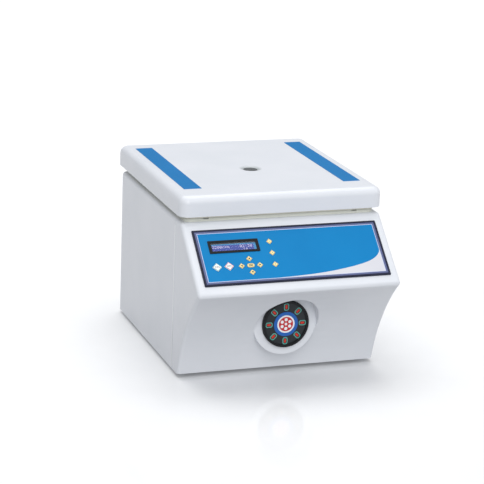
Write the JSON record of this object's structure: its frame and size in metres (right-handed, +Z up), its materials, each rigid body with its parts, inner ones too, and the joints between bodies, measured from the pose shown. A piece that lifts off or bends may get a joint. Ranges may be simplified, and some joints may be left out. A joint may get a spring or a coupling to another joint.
{
  "type": "microplate centrifuge",
  "caption": "Bench centrifuge with a hinged lid, a sloped keypad panel over a swept front, and a swing-out rotor that carries microplates.",
  "frame": {"origin": "on the bench, under the middle of the footprint", "axes": "+X to the right seen from the front, +Y to the rear, +Z up; the sloped panel faces -Y"},
  "size_m": [0.34, 0.4579, 0.2964],
  "materials": {
    "white_shell": "moulded shell, fine satin paint",
    "steel_case": "satin powder coat",
    "deck_paint": "satin powder coat",
    "stainless": "brushed stainless sheet",
    "zinc_steel": "bright zinc",
    "aluminium": "fine machined",
    "black_rubber": "matt",
    "seal_rubber": "matt grey-green foam rubber",
    "liner_plastic": "ivory thermoformed sheet",
    "clear_glass": "clear",
    "blue_film": "printed polyester film",
    "navy_frame": "satin moulding",
    "black_plastic": "fine texture",
    "key_cream": "embossed film over a dome",
    "key_white": "embossed film over a dome",
    "display_blue": "display cell",
    "board_green": "solder mask",
    "motor_paint": "cast, painted",
    "badge_face": "printed plate",
    "brass": "machined"
  },
  "bodies": {
    "housing": {"base_pan": "zinc_steel", "side_casing": "steel_case", "front_shell": "white_shell", "top_deck": "deck_paint", "chamber_bowl": "stainless", "bowl_gasket": "black_rubber", "rim_gasket": "seal_rubber", "rubber_feet": "black_rubber", "foot_screws": "zinc_steel", "case_screws": "zinc_steel", "hinge_brackets": "stainless", "hinge_pins": "zinc_steel", "lock_brackets": "zinc_steel", "lock_solenoid": "motor_paint", "motor_housing": "motor_paint", "motor_endcap": "aluminium", "motor_bearings": "zinc_steel", "motor_plate": "zinc_steel", "motor_dampers": "black_rubber", "shaft_boot": "black_rubber", "drive_board": "board_green", "panel_bezel": "navy_frame", "keypad_plate": "blue_film", "lcd_frame": "black_plastic", "lcd_window": "clear_glass", "lcd_module": "display_blue", "control_board": "board_green", "badge_rim": "black_plastic", "badge_face": "badge_face", "power_inlet": "black_plastic"},
    "lid": {"lid_cover": "white_shell", "lid_liner": "liner_plastic", "port_window": "clear_glass", "port_sleeve": "black_plastic", "lid_bands": "blue_film", "lid_hooks": "zinc_steel", "liner_screws": "zinc_steel", "hinge_leaves": "stainless"},
    "rotor": {"motor_shaft": "zinc_steel", "rotor_yoke": "aluminium", "trunnion_pins": "stainless", "rotor_nut": "black_plastic"},
    "left_carrier": {"carrier_left": "stainless", "carrier_mat_left": "black_rubber"},
    "right_carrier": {"carrier_right": "stainless", "carrier_mat_right": "black_rubber"},
    "lock": {"lock_shaft": "zinc_steel", "lock_pawls": "brass"},
    "plunger": {"solenoid_plunger": "zinc_steel"},
    "rocker": {"power_rocker": "black_plastic"},
    "key_start_body": {"key_start": "key_white"},
    "key_stop_body": {"key_stop": "key_white"},
    "key_left_body": {"key_left": "key_cream"},
    "key_up_body": {"key_up": "key_cream"},
    "key_enter_body": {"key_enter": "key_cream"},
    "key_down_body": {"key_down": "key_cream"},
    "key_right_body": {"key_right": "key_cream"},
    "key_set_1_body": {"key_set_1": "key_cream"},
    "key_set_2_body": {"key_set_2": "key_cream"},
    "key_set_3_body": {"key_set_3": "key_cream"}
  },
  "joints": [
    {"name": "lid_hinge", "type": "hinge", "parent": "housing", "child": "lid", "pos_m": [0, 0.21899, 0.256], "axis": [-1, 0, 0], "range_deg": [0, 78]},
    {"name": "rotor_spin", "type": "hinge", "parent": "housing", "child": "rotor", "pos_m": [0, 0.02599, 0.203], "axis": [0, 0, 1], "continuous": true},
    {"name": "swing_left", "type": "hinge", "parent": "rotor", "child": "left_carrier", "pos_m": [-0.0585, 0.02599, 0.203], "axis": [0, 1, 0], "range_deg": [-3, 90]},
    {"name": "swing_right", "type": "hinge", "parent": "rotor", "child": "right_carrier", "pos_m": [0.0585, 0.02599, 0.203], "axis": [0, -1, 0], "range_deg": [-3, 90]},
    {"name": "lock_turn", "type": "hinge", "parent": "housing", "child": "lock", "pos_m": [0, -0.12501, 0.232], "axis": [-1, 0, 0], "range_deg": [0, 28]},
    {"name": "plunger_slide", "type": "slide", "parent": "housing", "child": "plunger", "axis": [0, 0, 1], "range_m": [0, 0.00586], "stiffness_N_per_m": 40},
    {"name": "rocker_tilt", "type": "hinge", "parent": "housing", "child": "rocker", "pos_m": [-0.11, 0.20999, 0.07], "axis": [1, 0, 0], "range_deg": [0, 16]},
    {"name": "key_start_press", "type": "slide", "parent": "housing", "child": "key_start_body", "axis": [0, 0.6574, -0.7536], "range_m": [0, 0.0006], "stiffness_N_per_m": 600},
    {"name": "key_stop_press", "type": "slide", "parent": "housing", "child": "key_stop_body", "axis": [0, 0.6574, -0.7536], "range_m": [0, 0.0006], "stiffness_N_per_m": 600},
    {"name": "key_left_press", "type": "slide", "parent": "housing", "child": "key_left_body", "axis": [0, 0.6574, -0.7536], "range_m": [0, 0.0006], "stiffness_N_per_m": 600},
    {"name": "key_up_press", "type": "slide", "parent": "housing", "child": "key_up_body", "axis": [0, 0.6574, -0.7536], "range_m": [0, 0.0006], "stiffness_N_per_m": 600},
    {"name": "key_enter_press", "type": "slide", "parent": "housing", "child": "key_enter_body", "axis": [0, 0.6574, -0.7536], "range_m": [0, 0.0006], "stiffness_N_per_m": 600},
    {"name": "key_down_press", "type": "slide", "parent": "housing", "child": "key_down_body", "axis": [0, 0.6574, -0.7536], "range_m": [0, 0.0006], "stiffness_N_per_m": 600},
    {"name": "key_right_press", "type": "slide", "parent": "housing", "child": "key_right_body", "axis": [0, 0.6574, -0.7536], "range_m": [0, 0.0006], "stiffness_N_per_m": 600},
    {"name": "key_set_1_press", "type": "slide", "parent": "housing", "child": "key_set_1_body", "axis": [0, 0.6574, -0.7536], "range_m": [0, 0.0006], "stiffness_N_per_m": 600},
    {"name": "key_set_2_press", "type": "slide", "parent": "housing", "child": "key_set_2_body", "axis": [0, 0.6574, -0.7536], "range_m": [0, 0.0006], "stiffness_N_per_m": 600},
    {"name": "key_set_3_press", "type": "slide", "parent": "housing", "child": "key_set_3_body", "axis": [0, 0.6574, -0.7536], "range_m": [0, 0.0006], "stiffness_N_per_m": 600}
  ],
  "couplings": [
    {"joint": "lock_turn", "follows": "plunger_slide", "rad_per_m": 83.333}
  ]
}
